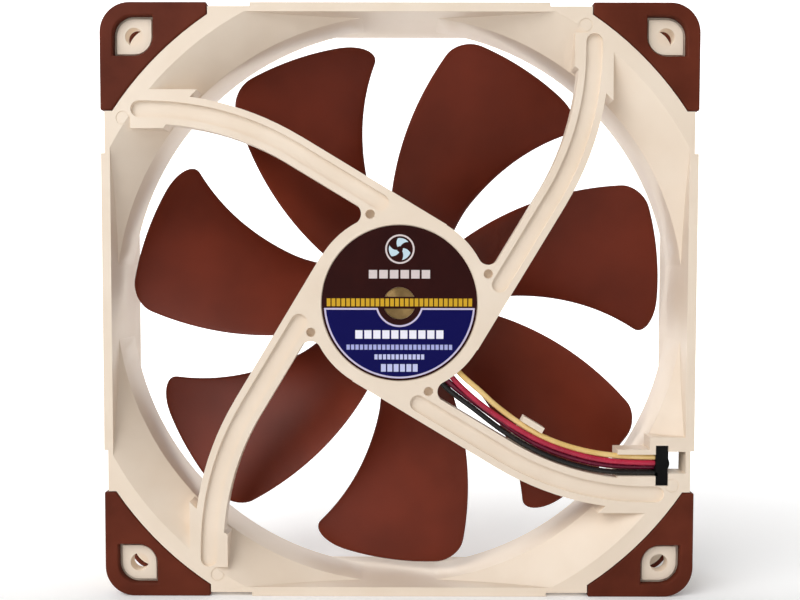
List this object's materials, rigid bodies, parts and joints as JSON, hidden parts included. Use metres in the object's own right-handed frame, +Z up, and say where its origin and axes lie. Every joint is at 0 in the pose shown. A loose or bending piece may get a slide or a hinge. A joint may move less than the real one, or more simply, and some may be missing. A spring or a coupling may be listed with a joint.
{
  "type": "case fan",
  "caption": "Square open-corner computer case fan with curved struts, a round hub plate, swept blades, silicone corner pads and a short sleeved lead with a plug.",
  "frame": {"origin": "centre of the fan, on the rotor axis, midway between the outlet face and the inlet face", "axes": "+Y along the rotor axis towards the inlet face, +Z up, +X to the right as seen from the outlet side that carries the label"},
  "size_m": [0.14, 0.0544, 0.14],
  "materials": {
    "frame_plastic": "fine moulded PBT, satin",
    "pad_silicone": "matt silicone",
    "impeller_plastic": "fine moulded, glass-fibre filled, satin",
    "yoke_steel": "drawn and zinc-plated",
    "magnet_ferrite": "bonded ferrite, matt",
    "shaft_steel": "ground",
    "ring_nylon": "natural nylon",
    "bearing_shell_steel": "turned",
    "bearing_bronze": "sintered, oiled",
    "seal_rubber": "matt",
    "thrust_magnet_metal": "nickel-plated",
    "cap_brass": "turned, satin",
    "core_steel": "stamped laminations",
    "insulator_nylon": "moulded nylon",
    "winding_copper": "enamelled wire",
    "pin_tin": "tin-plated",
    "board_laminate": "solder mask over glass-epoxy",
    "chip_epoxy": "moulded epoxy",
    "capacitor_ceramic": "fired ceramic",
    "label_foil": "printed film",
    "wire_yellow": "extruded PVC",
    "wire_red": "extruded PVC",
    "wire_magenta": "extruded PVC",
    "wire_black": "extruded PVC",
    "clip_rubber": "matt moulded rubber",
    "sleeve_braid": "braided polyester sleeve",
    "shrink_tube": "heat-shrink polyolefin",
    "tail_wire": "extruded PVC",
    "plug_nylon": "moulded nylon",
    "contact_tin": "plated phosphor bronze"
  },
  "bodies": {
    "housing": {"frame": "frame_plastic", "pad_front_top_left": "pad_silicone", "pad_front_top_right": "pad_silicone", "pad_front_bottom_left": "pad_silicone", "pad_front_bottom_right": "pad_silicone", "pad_rear_top_left": "pad_silicone", "pad_rear_top_right": "pad_silicone", "pad_rear_bottom_left": "pad_silicone", "pad_rear_bottom_right": "pad_silicone", "bearing_shell": "bearing_shell_steel", "bearing_sleeve": "bearing_bronze", "oil_seal": "seal_rubber", "thrust_magnet": "thrust_magnet_metal", "bearing_cap": "cap_brass", "stator_core": "core_steel", "insulator_front": "insulator_nylon", "insulator_rear": "insulator_nylon", "windings": "winding_copper", "winding_pins": "pin_tin", "circuit_board": "board_laminate", "driver_chip": "chip_epoxy", "hall_sensor": "chip_epoxy", "board_capacitors": "capacitor_ceramic", "label": "label_foil", "lead_yellow": "wire_yellow", "lead_red": "wire_red", "lead_magenta": "wire_magenta", "lead_black": "wire_black", "cable_clip": "clip_rubber", "cable": "sleeve_braid", "plug_shrink": "shrink_tube", "plug_wires": "tail_wire", "plug_housing": "plug_nylon", "plug_contacts": "contact_tin"},
    "rotor": {"impeller": "impeller_plastic", "rotor_yoke": "yoke_steel", "rotor_magnet": "magnet_ferrite", "shaft": "shaft_steel", "retaining_ring": "ring_nylon"}
  },
  "joints": [
    {"name": "rotor_spin", "type": "hinge", "parent": "housing", "child": "rotor", "pos_m": [0, 0, 0], "axis": [0, 1, 0], "continuous": true}
  ]
}
